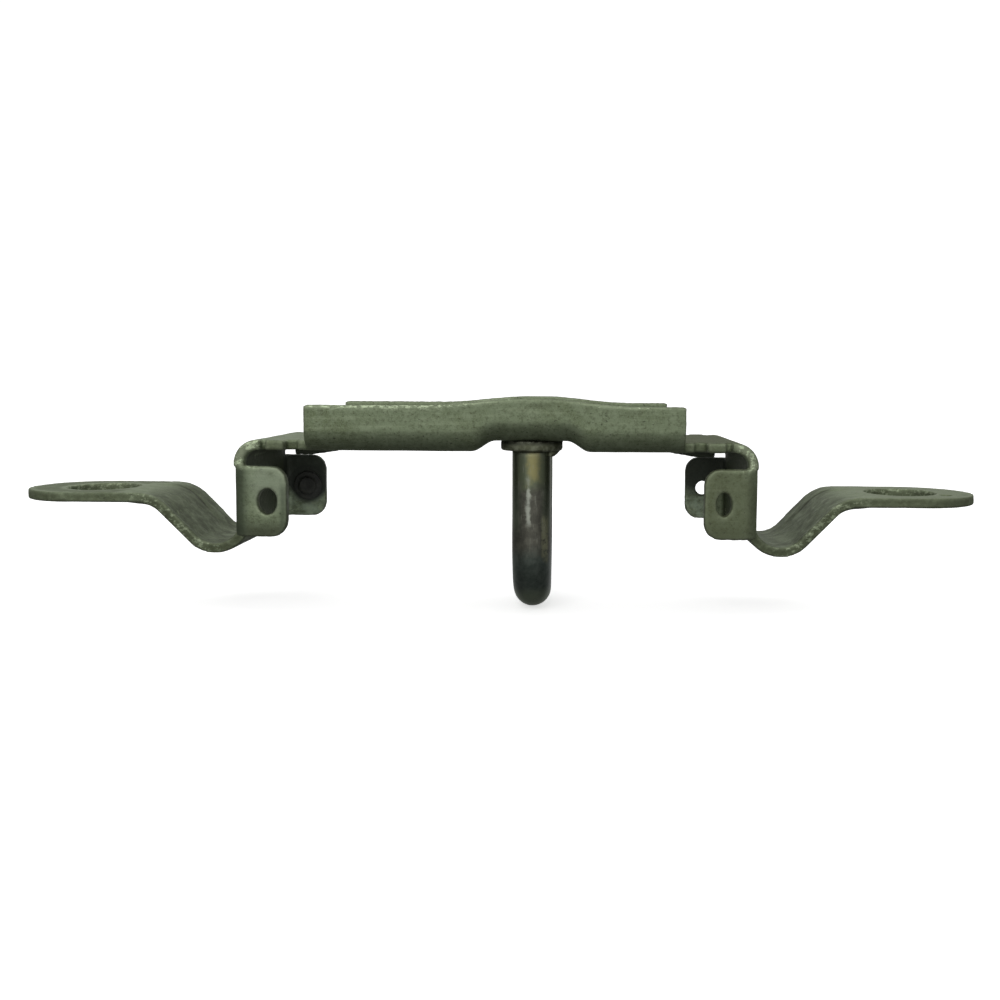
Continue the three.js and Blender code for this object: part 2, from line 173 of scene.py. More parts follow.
def rounded_box(x0, y0, x1, y1, radii, steps=10):
    """A box's outline, with a radius for each corner, anticlockwise from (x0, y0)."""
    corners = ((x0, y0, 1, 1, 180), (x1, y0, -1, 1, 270), (x1, y1, -1, -1, 0), (x0, y1, 1, -1, 90))
    points = []
    for (x, y, inward_x, inward_y, start), radius in zip(corners, radii):
        if not radius:
            points.append(flat(x, y))
            continue
        centre = flat(x + inward_x * radius, y + inward_y * radius)
        for k in range(steps + 1):
            angle = math.radians(start + 90 * k / steps)
            points.append(centre + radius * flat(math.cos(angle), math.sin(angle)))
    return points


def mirrored(points, side):
    return [flat(side * p.x, p.y) for p in points]


def new_object(name, vertices, faces):
    mesh = bpy.data.meshes.new(name)
    mesh.from_pydata([tuple(MM * c for c in v) for v in vertices], [], faces)
    built = bmesh.new()
    built.from_mesh(mesh)
    bmesh.ops.remove_doubles(built, verts=built.verts, dist=1e-7)
    bmesh.ops.recalc_face_normals(built, faces=built.faces)
    built.to_mesh(mesh)
    built.free()
    made = bpy.data.objects.new(name, mesh)
    bpy.context.scene.collection.objects.link(made)
    return made


def prism(outline, axis, low, high):
    """A solid with an outline in the plane across an axis."""
    place = {
        "x": lambda p, d: (d, p.x, p.y),
        "y": lambda p, d: (p.x, d, p.y),
        "z": lambda p, d: (p.x, p.y, d),
    }[axis]
    count = len(outline)
    vertices = [place(p, d) for d in (low, high) for p in outline]
    faces = [tuple(range(count)), tuple(range(2 * count - 1, count - 1, -1))]
    for k in range(count):
        after = (k + 1) % count
        faces.append((k, after, after + count, k + count))
    return new_object("solid", vertices, faces)


def tube(name, rings):
    """A solid through closed rings of equally many points, capped at both ends."""
    count = len(rings[0])
    faces = [tuple(range(count)), tuple((len(rings) - 1) * count + k for k in range(count))]
    for i in range(len(rings) - 1):
        for k in range(count):
            after = (k + 1) % count
            faces.append((i * count + k, i * count + after, (i + 1) * count + after, (i + 1) * count + k))
    return new_object(name, [p for ring in rings for p in ring], faces)


def settle(thing):
    """Applies an object's modifiers to its mesh."""
    graph = bpy.context.evaluated_depsgraph_get()
    mesh = bpy.data.meshes.new_from_object(thing.evaluated_get(graph))
    thing.modifiers.clear()
    thing.data = mesh
    return thing


def carve(thing, cutter, operation="DIFFERENCE"):
    modifier = thing.modifiers.new("carve", "BOOLEAN")
    modifier.operation = operation
    modifier.solver = "EXACT"
    modifier.object = cutter
    settle(thing)
    bpy.data.objects.remove(cutter)
    return thing


def gathered(name, solids):
    """One object that holds every solid's mesh."""
    built = bmesh.new()
    for one in solids:
        built.from_mesh(one.data)
        bpy.data.objects.remove(one)
    mesh = bpy.data.meshes.new(name)
    built.to_mesh(mesh)
    built.free()
    made = bpy.data.objects.new(name, mesh)
    bpy.context.scene.collection.objects.link(made)
    return made


def merged(thing, voxel, smoothings):
    """Turns overlapping solids into one skin with softened edges."""
    remesh = thing.modifiers.new("merge", "REMESH")
    remesh.mode = "VOXEL"
    remesh.voxel_size = voxel * MM
    soften = thing.modifiers.new("soften", "SMOOTH")
    soften.factor = 0.5
    soften.iterations = smoothings
    settle(thing)
    thing.data.shade_smooth()
    return thing


# ---------------------------------------------------------------- skin: places, marks and dents

class Skin:
    """A mesh's vertices as arrays, in millimetres, with the marks that its material reads."""

    def __init__(self, thing):
        self.mesh = thing.data
        count = len(self.mesh.vertices)
        self.places = np.empty(count * 3)
        self.mesh.vertices.foreach_get("co", self.places)
        self.places = self.places.reshape(-1, 3) / MM
        edges = np.empty(len(self.mesh.edges) * 2, dtype=np.int64)
        self.mesh.edges.foreach_get("vertices", edges)
        self.edges = edges.reshape(-1, 2)
        self.degree = np.bincount(self.edges.ravel(), minlength=count)

    def normals(self):
        found = np.empty(len(self.mesh.vertices) * 3)
        self.mesh.vertices.foreach_get("normal", found)
        return found.reshape(-1, 3)

    def write(self, low, high):
        """Puts the places back in the mesh, none of them outside the node's own box."""
        self.places = np.clip(self.places, low, high)
        self.mesh.vertices.foreach_set("co", (self.places * MM).ravel())
        self.mesh.update()

    def averaged(self, values, rounds=1):
        for _ in range(rounds):
            total = np.zeros_like(values)
            np.add.at(total, self.edges[:, 0], values[self.edges[:, 1]])
            np.add.at(total, self.edges[:, 1], values[self.edges[:, 0]])
            values = total / np.maximum(self.degree, 1)
        return values

    def ridge(self, rounds=2):
        """How sharply the skin turns away, from 0 on flats and hollows to 1 on edges."""
        normals = self.normals()
        first, second = self.edges[:, 0], self.edges[:, 1]
        step = self.places[second] - self.places[first]
        step /= np.maximum(np.linalg.norm(step, axis=1), 1e-9)[:, None]
        bend = np.zeros(len(self.places))
        np.add.at(bend, first, -(normals[first] * step).sum(1))
        np.add.at(bend, second, (normals[second] * step).sum(1))
        bend = self.averaged(bend / np.maximum(self.degree, 1), rounds)
        return np.clip(bend / SHARP, 0, 1)

    def cut_faces(self):
        """1 on the sheet's sheared edges, 0 on its broad faces: the metal is deeper behind an edge."""
        normals = self.normals()
        tree = BVHTree.FromPolygons(self.places.tolist(), [p.vertices[:] for p in self.mesh.polygons])
        marks = np.ones(len(self.places))
        reach = 1.9 * SHEET
        for i, (place, normal) in enumerate(zip(self.places, normals)):
            start = Vector(place - normal * 0.05)
            hit = tree.ray_cast(start, Vector(-normal), reach)
            if hit[3] is not None:
                marks[i] = np.clip((hit[3] - 1.25 * SHEET) / (0.5 * SHEET), 0, 1)
        return self.averaged(marks, 1)

    def mark(self, name, values):
        layer = self.mesh.attributes.new(name, "FLOAT", "POINT")
        layer.data.foreach_set("value", values.astype(np.float32))


def ease(values, low, high):
    t = np.clip((values - low) / (high - low), 0, 1)
    return t * t * (3 - 2 * t)


def rough_field(places, size, seed):
    """Smooth noise of about -1 to 1 with features of a size in millimetres."""
    shift = Vector((seed * 17.3, seed * 5.1, seed * 29.7))
    return np.array([noise.noise(Vector(p) / size + shift) for p in places])


# ---------------------------------------------------------------- bracket

def swell(x):
    outside = max(abs(x - LOOP_X) - SWELL_HALF_FLAT, 0) / SWELL_RAMP
    return SWELL_LIFT * (1 - float(ease(np.array(outside), 0, 1)))


def rim_swell(x):
    t = min(abs(x - LOOP_X) / (SWELL_HALF_FLAT + RIM_RAMP), 1)
    return RIM_LIFT * (0.5 + 0.5 * math.cos(math.pi * t))


def channel():
    flange_y = CHANNEL_HALF_WIDTH - SHEET / 2
    middle = PLATE_UNDER + SHEET / 2
    top = PLATE_UNDER + CHANNEL_HEIGHT
    corners = [flat(-flange_y, top), flat(-flange_y, middle), flat(flange_y, middle), flat(flange_y, top)]
    section = sheet_section(corners, [CHANNEL_BEND, CHANNEL_BEND])
    rings = []
    for x in np.linspace(-CHANNEL_HALF_LENGTH, CHANNEL_HALF_LENGTH, 127):
        ring = []
        for p in section:
            height = min(max((p.y - PLATE_UNDER - SHEET) / (CHANNEL_HEIGHT - SHEET), 0), 1)
            lift = swell(x) * (1 - height) + rim_swell(x) * height
            ring.append((x, p.x, p.y + lift))
        rings.append(ring)
    trough = tube("solid", rings)
    for leg in (-LEG_Y, LEG_Y):
        hole = oval(LOOP_X, leg, TENON_HOLE, TENON_HOLE)
        carve(trough, prism(hole, "z", PLATE_UNDER, FLOOR_TOP + OVERLAP))
    return trough


def plate_outline():
    half = PLATE_HALF_WIDTH
    notch_in = CHANNEL_HALF_LENGTH + NOTCH_START
    tab_in = notch_in + NOTCH_TO_TAB
    tab_out = tab_in + TAB_LENGTH
    notch_out = tab_out + NOTCH_WIDTH
    edge = [
        flat(CHANNEL_HALF_LENGTH - OVERLAP, half),
        flat(notch_in, half),
        flat(notch_in, half - NOTCH_DEPTH),
        flat(tab_in, half - NOTCH_DEPTH),
        flat(tab_in, half + TAB_REACH),
        flat(tab_out, half + TAB_REACH),
        flat(tab_out, half - NOTCH_DEPTH),
        flat(notch_out, half - NOTCH_DEPTH),
        flat(notch_out, half),
        flat(WALL_X + OVERLAP, half),
    ]
    return edge + [flat(p.x, -p.y) for p in reversed(edge)]


def plate_end(side):
    middle = PLATE_UNDER + SHEET / 2
    wall = WALL_X - SHEET / 2
    corners = [flat(CHANNEL_HALF_LENGTH - OVERLAP, middle), flat(wall, middle), flat(wall, EAR_TOP)]
    reach = PLATE_HALF_WIDTH + TAB_REACH + OVERLAP
    band = prism(mirrored(sheet_section(corners, [PLATE_BEND]), side), "y", -reach, reach)
    plan = prism(mirrored(plate_outline(), side), "z", EAR_TOP - OVERLAP, PLATE_UNDER + SHEET + OVERLAP)
    carve(band, plan, "INTERSECT")
    start = WALL_X - SHEET - PLATE_BEND
    relief = rounded_box(start, EAR_Y - SHEET - EAR_BEND, WALL_X + OVERLAP, reach, (0, 0, 0, 0))
    return carve(band, prism(mirrored(relief, side), "z", EAR_TOP - OVERLAP, PLATE_UNDER))


def lug(side):
    outer = WALL_X - LUG_FROM_WALL
    inner = outer - LUG_LENGTH
    bottom = EAR_TOP + LUG_GAP
    middle = PLATE_UNDER + SHEET / 2
    outline = [
        flat(outer, middle),
        flat(outer, bottom),
        flat(inner, bottom),
        flat(inner - LUG_WEB, bottom + LUG_WEB_RISE),
        flat(inner - LUG_WEB - SHEET / 2, PLATE_UNDER),
        flat(inner - LUG_WEB - SHEET / 2, middle),
    ]
    edge = PLATE_HALF_WIDTH - NOTCH_DEPTH
    return prism(mirrored(outline, side), "y", edge - SHEET, edge)


def leg_line():
    radius = VALLEY_BEND + SHEET / 2
    touch = flat(WALL_X + VALLEY_BEND, VALLEY_Z) + radius * flat(math.sin(SLOPE), -math.cos(SLOPE))
    wall = WALL_X - SHEET / 2
    foot = -SHEET / 2
    return [
        flat(wall, EAR_TOP + OVERLAP / 2),
        flat(wall, touch.y + (wall - touch.x) * math.tan(SLOPE)),
        flat(touch.x + (foot - touch.y) / math.tan(SLOPE), foot),
        flat(TIP_X, foot),
    ]


def leg(side):
    half = STRIP_HALF_WIDTH
    section = sheet_section(leg_line(), [VALLEY_BEND, SHOULDER_BEND], 24)
    band = prism(mirrored(section, side), "y", -half, half)
    plan = mirrored(rounded_box(0, -half, TIP_X, half, (0, half, half, 0), 20), side)
    carve(band, prism(plan, "z", STEEL_LOW.z - OVERLAP, PLATE_UNDER), "INTERSECT")
    hole = oval(side * FIXING_X, 0, FIXING_HOLE, FIXING_HOLE)
    carve(band, prism(hole, "z", -SHEET - OVERLAP, OVERLAP))
    if side > 0:
        gauge = oval(GAUGE_X, GAUGE_Y, GAUGE_HOLE, GAUGE_HOLE, 24)
        carve(band, prism(gauge, "z", -SHEET - OVERLAP, OVERLAP))
    return band


def ear(side, end):
    middle_y = EAR_Y - SHEET / 2
    free_x = WALL_X - EAR_REACH
    root_y = STRIP_HALF_WIDTH - OVERLAP
    wall = WALL_X - SHEET / 2
    section = sheet_section([flat(wall, root_y), flat(wall, middle_y), flat(free_x, middle_y)], [EAR_BEND])
    band = prism([flat(side * p.x, end * p.y) for p in section], "z", EAR_BOTTOM, EAR_TOP)
    y0, y1 = sorted((end * (root_y - OVERLAP), end * (EAR_Y + OVERLAP)))
    outline = rounded_box(free_x, EAR_BOTTOM, WALL_X + OVERLAP, EAR_TOP, (EAR_CORNER, 0, 0, EAR_CORNER))
    carve(band, prism(mirrored(outline, side), "y", y0, y1), "INTERSECT")
    slit = STRIP_HALF_WIDTH + EAR_SLIT
    beside = rounded_box(free_x, -slit, WALL_X + OVERLAP, slit, (0, 0, 0, 0))
    carve(band, prism(mirrored(beside, side), "z", EAR_BOTTOM - OVERLAP, VALLEY_Z))
    width, height = EAR_HOLES[side, end]
    return carve(band, prism(oval(side * EAR_HOLE_X, EAR_HOLE_Z, width, height), "y", y0, y1))


def dish_legs(skin):
    """Presses a shallow dish with a firm rear border into each slope and shoulder."""
    x, y, z = np.abs(skin.places[:, 0]), skin.places[:, 1], skin.places[:, 2]
    along = ease(x, 60, 66) * (1 - ease(x, 74, 79))
    border = ease(y, -11.9, -10.9) * (1 - ease(y, 5.2, 7.6))
    crease = crease_of_legs(skin)
    depth = DISH_DEPTH * along * border + CREASE_DEPTH * crease
    upper = ease(z, VALLEY_Z - VALLEY_BEND - SHEET, 0)
    skin.places[:, 0] -= np.sign(skin.places[:, 0]) * depth * math.sin(SLOPE) * 0.5 * upper
    skin.places[:, 2] -= depth * math.cos(SLOPE)


def crease_of_legs(skin):
    """1 along the short, hard rear border of the dish, from the shoulder down the slope."""
    x, y = np.abs(skin.places[:, 0]), skin.places[:, 1]
    wander = 6.3 + 0.12 * (x - 69)
    return ease(x, 65, 67) * (1 - ease(x, 72, 74.5)) * np.exp(-(((y - wander) / 0.42) ** 2))


def worked_places(skin):
    """1 on the sheared metal that was stretched or scraped: the bends' edges and the fixing bores."""
    x, y, z = skin.places.T
    x = np.abs(x)
    bends = ease(x, 46.5, 49) * (1 - ease(x, 57, 59)) * ease(z, 4.5, 6.5)
    legs = 0.32 * ease(x, 56, 59) * (1 - ease(x, 74, 78)) * (y < 0)
    bores = 0.35 * (np.hypot(x - FIXING_X, y) < FIXING_HOLE / 2 + 0.35)
    return np.maximum(np.maximum(bends, legs), bores)


def bruise(skin):
    """Lets the sheet wander a little, and roughens its sheared edges."""
    normals = skin.normals()
    wander = 0.045 * rough_field(skin.places, 9.0, 1) + 0.02 * rough_field(skin.places, 3.0, 2)
    torn = skin.cut_faces()
    ragged = 0.09 * rough_field(skin.places, 0.9, 3) + 0.05 * rough_field(skin.places, 2.6, 4)
    skin.places += normals * (SMOOTHING_LOSS + wander + torn * ragged)[:, None]
    return torn


def make_bracket():
    solids = [channel()]
    for side in (-1, 1):
        solids += [plate_end(side), lug(side), leg(side), ear(side, -1), ear(side, 1)]
    piece = merged(gathered("bracket_skin", solids), VOXEL, 2)
    skin = Skin(piece)
    dish_legs(skin)
    skin.write(STEEL_LOW, STEEL_HIGH)
    torn = bruise(skin)
    skin.write(STEEL_LOW, STEEL_HIGH)
    skin.mark("cut", torn)
    skin.mark("ridge", skin.ridge())
    skin.mark("rim", rim_of_flange(skin))
    skin.mark("worked", worked_places(skin))
    skin.mark("crease", crease_of_legs(skin))
    return piece


def rim_of_flange(skin):
    """1 along the upper edge of the front flange, fading out half a millimetre below it."""
    x, y, z = skin.places.T
    t = np.minimum(np.abs(x - LOOP_X) / (SWELL_HALF_FLAT + RIM_RAMP), 1)
    top = PLATE_UNDER + CHANNEL_HEIGHT + RIM_LIFT * (0.5 + 0.5 * np.cos(np.pi * t))
    return np.exp(-(((top - z) / 0.65) ** 2)) * (y < SHEET - CHANNEL_HALF_WIDTH)


# ---------------------------------------------------------------- loop, collars and plug

def wire_stations():
    """Centre, direction and radius of each ring, from the top of one riveted head to the other."""
    head_z = LOOP_HIGH.z
    shoulder = COLLAR_LOW.z
    bend_z = LOOP_LOW.z + WIRE / 2 + LEG_Y
    dome = 0.62 * (head_z - FLOOR_TOP)
    profile = [(head_z - dome * (1 - math.cos(t)), HEAD / 2 * math.sin(t))
               for t in np.linspace(0.02, math.pi / 2, 10)]
    profile += [(FLOOR_TOP + 0.45, HEAD / 2), (FLOOR_TOP + 0.12, HEAD / 2 - 0.06)]
    profile += [(FLOOR_TOP, HEAD / 2 - 0.25)]
    profile += [(FLOOR_TOP, TENON / 2), (shoulder + 0.3, TENON / 2), (shoulder, TENON / 2 + 0.15)]
    profile += [(shoulder, WIRE / 2 - 0.35), (shoulder - 0.12, WIRE / 2 - 0.12), (shoulder - 0.4, WIRE / 2)]
    profile += [(z, WIRE / 2) for z in np.linspace(shoulder - 1.2, bend_z, 26)]
    down, up = Vector((0, 0, -1)), Vector((0, 0, 1))
    stations = [(Vector((LOOP_X, -LEG_Y, z)), down, r) for z, r in profile]
    for angle in np.linspace(0, math.pi, 50)[1:-1]:
        place = Vector((LOOP_X, -LEG_Y * math.cos(angle), bend_z - LEG_Y * math.sin(angle)))
        stations.append((place, Vector((0, math.sin(angle), -math.cos(angle))), WIRE / 2))
    stations += [(Vector((LOOP_X, LEG_Y, z)), up, r) for z, r in reversed(profile)]
    return stations


def make_loop():
    sides = 56
    rings = []
    for place, along, radius in wire_stations():
        across = Vector((1, 0, 0))
        outward = along.cross(across)
        ring = []
        for k in range(sides):
            angle = 2 * math.pi * k / sides
            ring.append(place + radius * (across * math.cos(angle) + outward * math.sin(angle)))
        rings.append(ring)
    piece = tube("loop_wire", rings)
    piece.data.shade_smooth()
    skin = Skin(piece)
    normals = skin.normals()
    hammered = 0.10 * rough_field(skin.places, 1.7, 5) * ease(skin.places[:, 2], FLOOR_TOP, FLOOR_TOP + 0.6)
    dented = 0.02 * rough_field(skin.places, 4.0, 6)
    skin.places += normals * (hammered + dented)[:, None]
    skin.write(LOOP_LOW, LOOP_HIGH)
    skin.mark("ridge", skin.ridge(1))
    return piece


def lathe(name, profile, origin, axis="z", sides=72):
    """A turned solid from (radius, distance along the axis) pairs that start and end on the axis."""
    rings = []
    for radius, along in profile:
        ring = []
        for k in range(sides):
            angle = 2 * math.pi * k / sides
            a, b = radius * math.cos(angle), radius * math.sin(angle)
            ring.append(origin + (Vector((a, b, along)) if axis == "z" else Vector((a, along, b))))
        rings.append(ring)
    return tube(name, rings)


def corner_arc(radius, along, size, start, steps=6):
    """(radius, along) pairs round a turned edge, anticlockwise from an angle in degrees."""
    angles = (math.radians(start + 90 * k / steps) for k in range(steps + 1))
    return [(radius + size * math.cos(a), along + size * math.sin(a)) for a in angles]


def weld_bead(x, y, z):
    """A short row of overlapping drops that runs up beside the wire."""
    drops = []
    for k in range(10):
        t = k / 9
        size = 0.72 + 0.1 * math.sin(5 * t)
        round_face = [(max(size * math.sin(a), 0.001), -size * math.cos(a))
                      for a in np.linspace(0, math.pi, 12)]
        place = Vector((x + 1.9 * t, y + 0.9 * t, z + 1.5 * t))
        drops.append(lathe("solid", round_face, place, sides=20))
    return drops


def make_collar(name, node, weld):
    low, high = (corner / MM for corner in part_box(node))
    centre = Vector(((low.x + high.x) / 2, (low.y + high.y) / 2, 0))
    rim, edge = (high.x - low.x) / 2, 0.45
    profile = [(0.001, low.z)]
    profile += corner_arc(rim - edge, low.z + edge, edge, -90)
    profile += [(rim, z) for z in np.linspace(low.z + edge + 0.2, high.z - 0.5, 4)]
    profile += [(rim - 0.15, high.z - 0.05), (0.001, high.z - 0.05)]
    ring = lathe("solid", profile, centre)
    bore = prism(oval(centre.x, centre.y, TENON_HOLE, TENON_HOLE), "z", low.z - OVERLAP, high.z + OVERLAP)
    solids = [carve(ring, bore)]
    if weld:
        solids += weld_bead(centre.x + 3.9, centre.y - 1.8, low.z - 0.75)
    piece = merged(gathered(name, solids), COLLAR_VOXEL, 3)
    skin = Skin(piece)
    skin.places += skin.normals() * (0.015 * rough_field(skin.places, 1.6, 7))[:, None]
    lowest = low - Vector((0, 0, WELD_DROP)) if weld else low
    skin.write(lowest, high)
    skin.mark("ridge", skin.ridge(1))
    return piece


def make_plug():
    centre = (PLUG_LOW + PLUG_HIGH) / 2
    face, tail = PLUG_LOW.y, PLUG_HIGH.y
    head, button, shank = (PLUG_HIGH.x - PLUG_LOW.x) / 2, 1.9, 1.5
    seat = EAR_Y - SHEET
    profile = [(0.001, face + 0.12), (0.8, face + 0.1)]
    profile += corner_arc(button - 0.25, face + 0.25, 0.25, -90)
    profile += [(button + 0.1, face + 0.55), (button + 0.5, face + 0.68)]
    profile += corner_arc(head - 0.3, face + 0.9, 0.3, -90)
    profile += [(head, seat), (shank, seat), (shank, tail - 0.3), (shank - 0.3, tail), (0.001, tail)]
    piece = lathe("plug_body", profile, Vector((centre.x, 0, centre.z)), "y", 64)
    piece.data.shade_smooth()
    skin = Skin(piece)
    skin.places += skin.normals() * (0.04 * rough_field(skin.places, 1.3, 8))[:, None]
    skin.write(PLUG_LOW, PLUG_HIGH)
    return piece


# ---------------------------------------------------------------- shader arithmetic

class Value:
    """A number socket. Arithmetic on it adds Math nodes."""

    def __init__(self, tree, socket):
        self.tree, self.socket = tree, socket

    def math(self, operation, *others):
        made = self.tree.node("ShaderNodeMath", {"operation": operation}, dict(enumerate((self, *others))))
        return Value(self.tree, made.outputs[0])

    def __add__(self, other):
        return self.math("ADD", other)

    def __sub__(self, other):
        return self.math("SUBTRACT", other)

    def __mul__(self, other):
        return self.math("MULTIPLY", other)

    def __rsub__(self, other):
        return (self * -1) + other

    __radd__, __rmul__ = __add__, __mul__

    def clipped(self):
        return self.tree.ramped(self, 0, 1, "LINEAR")

    def step(self, low, high):
        """0 below low, 1 above high, and smooth between them."""
        return self.tree.ramped(self, low, high, "SMOOTHSTEP")

    def below(self, low, high):
        """1 below low, 0 above high, and smooth between them."""
        return 1 - self.step(low, high)

    def within(self, start, full, fading, end):
        """1 from full to fading, and 0 outside start and end."""
        return self.step(start, full) * self.below(fading, end)


class Tree:
    """A node tree, with one method for nodes and a few names for common ones."""

    def __init__(self, owner, shader):
        owner.use_nodes = True
        self.tree = owner.node_tree
        self.shader = self.tree.nodes[shader]

    def node(self, kind, settings=None, sockets=None):
        made = self.tree.nodes.new(kind)
        for key, value in (settings or {}).items():
            setattr(made, key, value)
        for key, value in (sockets or {}).items():
            if value is not None:
                self.put(value, made.inputs[key])
        return made

    def put(self, value, socket):
        """Links another node to a socket, or sets its constant."""
        value = getattr(value, "socket", value)
        if isinstance(value, bpy.types.NodeSocket):
            self.tree.links.new(value, socket)
        else:
            socket.default_value = value

    def feed(self, **sockets):
        """Sets or links the shader's own sockets, with _ for a space in a name."""
        for key, value in sockets.items():
            self.put(value, self.shader.inputs[key.replace("_", " ")])

    def parts(self, vector):
        """A vector's three numbers."""
        made = self.node("ShaderNodeSeparateXYZ", None, {0: vector})
        return [Value(self, made.outputs[name]) for name in "XYZ"]

    def ramped(self, value, low, high, way):
        sockets = {"Value": value, "From Min": low, "From Max": high}
        made = self.node("ShaderNodeMapRange", {"interpolation_type": way}, sockets)
        return Value(self, made.outputs["Result"])


class Finish(Tree):
    """A material's tree. Its places are in millimetres."""

    def __init__(self, name):
        self.material = bpy.data.materials.new(name)
        super().__init__(self.material, "Principled BSDF")
        place = self.node("ShaderNodeTexCoord").outputs["Object"]
        self.place = self.vector("SCALE", place, Scale=1 / MM)
        self.x, self.y, self.z = self.parts(self.place)

    def vector(self, operation, first, second=None, **more):
        sockets = {0: first, 1: second, **more}
        return self.node("ShaderNodeVectorMath", {"operation": operation}, sockets).outputs[0]

    def facing_up(self):
        return self.parts(self.node("ShaderNodeNewGeometry").outputs["Normal"])[2]

    def mark(self, name):
        return Value(self, self.node("ShaderNodeAttribute", {"attribute_name": name}).outputs["Fac"])

    def cloud(self, size, detail=3.0, stretch=None, roughness=0.55, offset=0.0):
        """Noise with features of a size in millimetres, stretched along an axis if asked."""
        place = self.place
        if stretch:
            place = self.vector("MULTIPLY", place, tuple(1 / s for s in stretch))
        if offset:
            place = self.vector("ADD", place, (offset, offset, offset))
        sockets = {"Vector": place, "Scale": 1 / size, "Detail": detail, "Roughness": roughness}
        return Value(self, self.node("ShaderNodeTexNoise", None, sockets).outputs["Fac"])

    def blend(self, amount, first, second):
        settings = {"data_type": "RGBA", "clamp_factor": True}
        colours = [(*c, 1) if isinstance(c, tuple) else c for c in (first, second)]
        return self.node("ShaderNodeMix", settings, {0: amount, 6: colours[0], 7: colours[1]}).outputs[2]

    def relief(self, height, depth):
        """A bump from a height of 0 to 1, with its depth in millimetres."""
        sockets = {"Strength": 1.0, "Distance": depth * MM, "Height": height}
        return self.node("ShaderNodeBump", None, sockets).outputs["Normal"]

    def ball(self, x, y, z, inner, outer):
        """1 within a distance of a place in millimetres, fading to 0 at a further one."""
        sockets = {0: self.place, 1: (x, y, z)}
        gap = self.node("ShaderNodeVectorMath", {"operation": "DISTANCE"}, sockets)
        return Value(self, gap.outputs["Value"]).below(inner, outer)


# ---------------------------------------------------------------- finishes

def zinced_steel():
    """Dull, olive-grey zinc plating on pressed steel, scratched, pitted and bright at sheared edges, with
    painted light and shade on its ears, feet and edges.
    """
    f = Finish("zinced_steel")
    mottle = f.cloud(2.6, 5, roughness=0.65)
    grain, dust = f.cloud(0.28, 2), f.cloud(0.7, 4, offset=31)
    wiped = f.cloud(1.1, 3, stretch=(16, 1, 1), offset=11).step(0.5, 0.68)
    scratch = f.cloud(0.32, 2, stretch=(34, 1, 1), offset=5).step(0.64, 0.72)
    speck = f.cloud(0.62, 2, stretch=(1.5, 1, 1), offset=47).step(0.68, 0.73)
    flakes = f.cloud(0.8, 4, stretch=(1.5, 1.5, 1), offset=19, roughness=0.7)
    torn = f.mark("cut")
    x, y, z = f.x, f.y, f.z
    plate_tops = x.within(36, 38, 51, 53) * f.facing_up().step(0.5, 0.8)
    # behind: the rear ears' lower halves, which get painted light.
    behind = y.step(15.0, 15.6) * z.below(5.9, 6.4) * x.math("ABSOLUTE").below(51, 53) * x.below(46, 48)
    grease_and_shadow = grease_and_shadow_on_ears(f)

    olive = f.blend(f.cloud(13, 2).step(0.32, 0.66), (0.134, 0.168, 0.087), (0.182, 0.226, 0.135))
    cooled = f.blend(mottle.step(0.38, 0.68), olive, (0.240, 0.291, 0.185))
    stained = f.blend(dust.step(0.46, 0.70) * 0.7, cooled, (0.084, 0.101, 0.051))
    grained = f.blend(grain.step(0.35, 0.7) * 0.5, stained, (0.259, 0.303, 0.199))
    rubbed = f.blend(wiped * 0.24 + scratch * 0.3, grained, (0.298, 0.348, 0.228))
    gouged = f.blend(speck * 0.7, rubbed, (0.034, 0.040, 0.021))
    feet_toned = tones_and_painted_light_on_feet(f, gouged, mottle, plate_tops)
    ears_toned = tones_and_painted_light_on_ears(f, feet_toned)
    # Painted light: the rear ears' lower halves, shaded by the front pieces, are painted a light
    # blue-green.
    rear_ears_lit = f.blend(behind * (0.2 + mottle.step(0.4, 0.62) * 0.7), ears_toned, (0.442, 0.535, 0.399))
    chipped = bare_edges(f, rear_ears_lit, flakes, behind)
    f.feed(
        Base_Color=f.blend(grease_and_shadow, chipped, (0.056, 0.066, 0.052)),
        Metallic=0.8 - grease_and_shadow * 0.45 - speck * 0.3,
        Roughness=(0.50 + mottle * 0.18 - wiped * 0.08 - scratch * 0.08
                   + torn * 0.06 + plate_tops * 0.2 + grease_and_shadow * 0.06).clipped(),
        Normal=f.relief(grain * 0.2 + dust * 0.35 + mottle * 0.3 - speck * 0.5 + scratch * 0.12
                        + torn * flakes * 0.6, 0.09),
    )
    return f.material


def tones_and_painted_light_on_feet(f, colour, mottle, plate_tops):
    """Painted light on the feet's upward faces; darker slopes with painted shade along a crease; darker
    plate tops; painted shade on the right foot.
    """
    x = f.x
    reach = x.math("ABSOLUTE")
    # Painted light: the feet's upward faces, lit from above, are painted paler.
    seat = reach.step(73, 79) * f.facing_up().step(0.7, 0.95)
    tops_lit = f.blend(seat * 0.4, colour, (0.278, 0.333, 0.214))
    slope = reach.within(52.5, 54, 70, 76) * (0.34 + mottle.step(0.35, 0.65) * 0.6)
    sloped = f.blend(slope, tops_lit, (0.067, 0.081, 0.044))
    # Painted shade along the crease at the dish's rear border.
    crease_shaded = f.blend(f.mark("crease") * 0.8, sloped, (0.030, 0.034, 0.020))
    # Darker on the plate ends' upward faces, which are also made rougher.
    tops_darkened = f.blend(plate_tops * 0.75, crease_shaded, (0.074, 0.082, 0.042))
    # Painted shade over the right foot.
    return f.blend(x.step(70, 84) * 0.32, tops_darkened, (0.110, 0.124, 0.066))


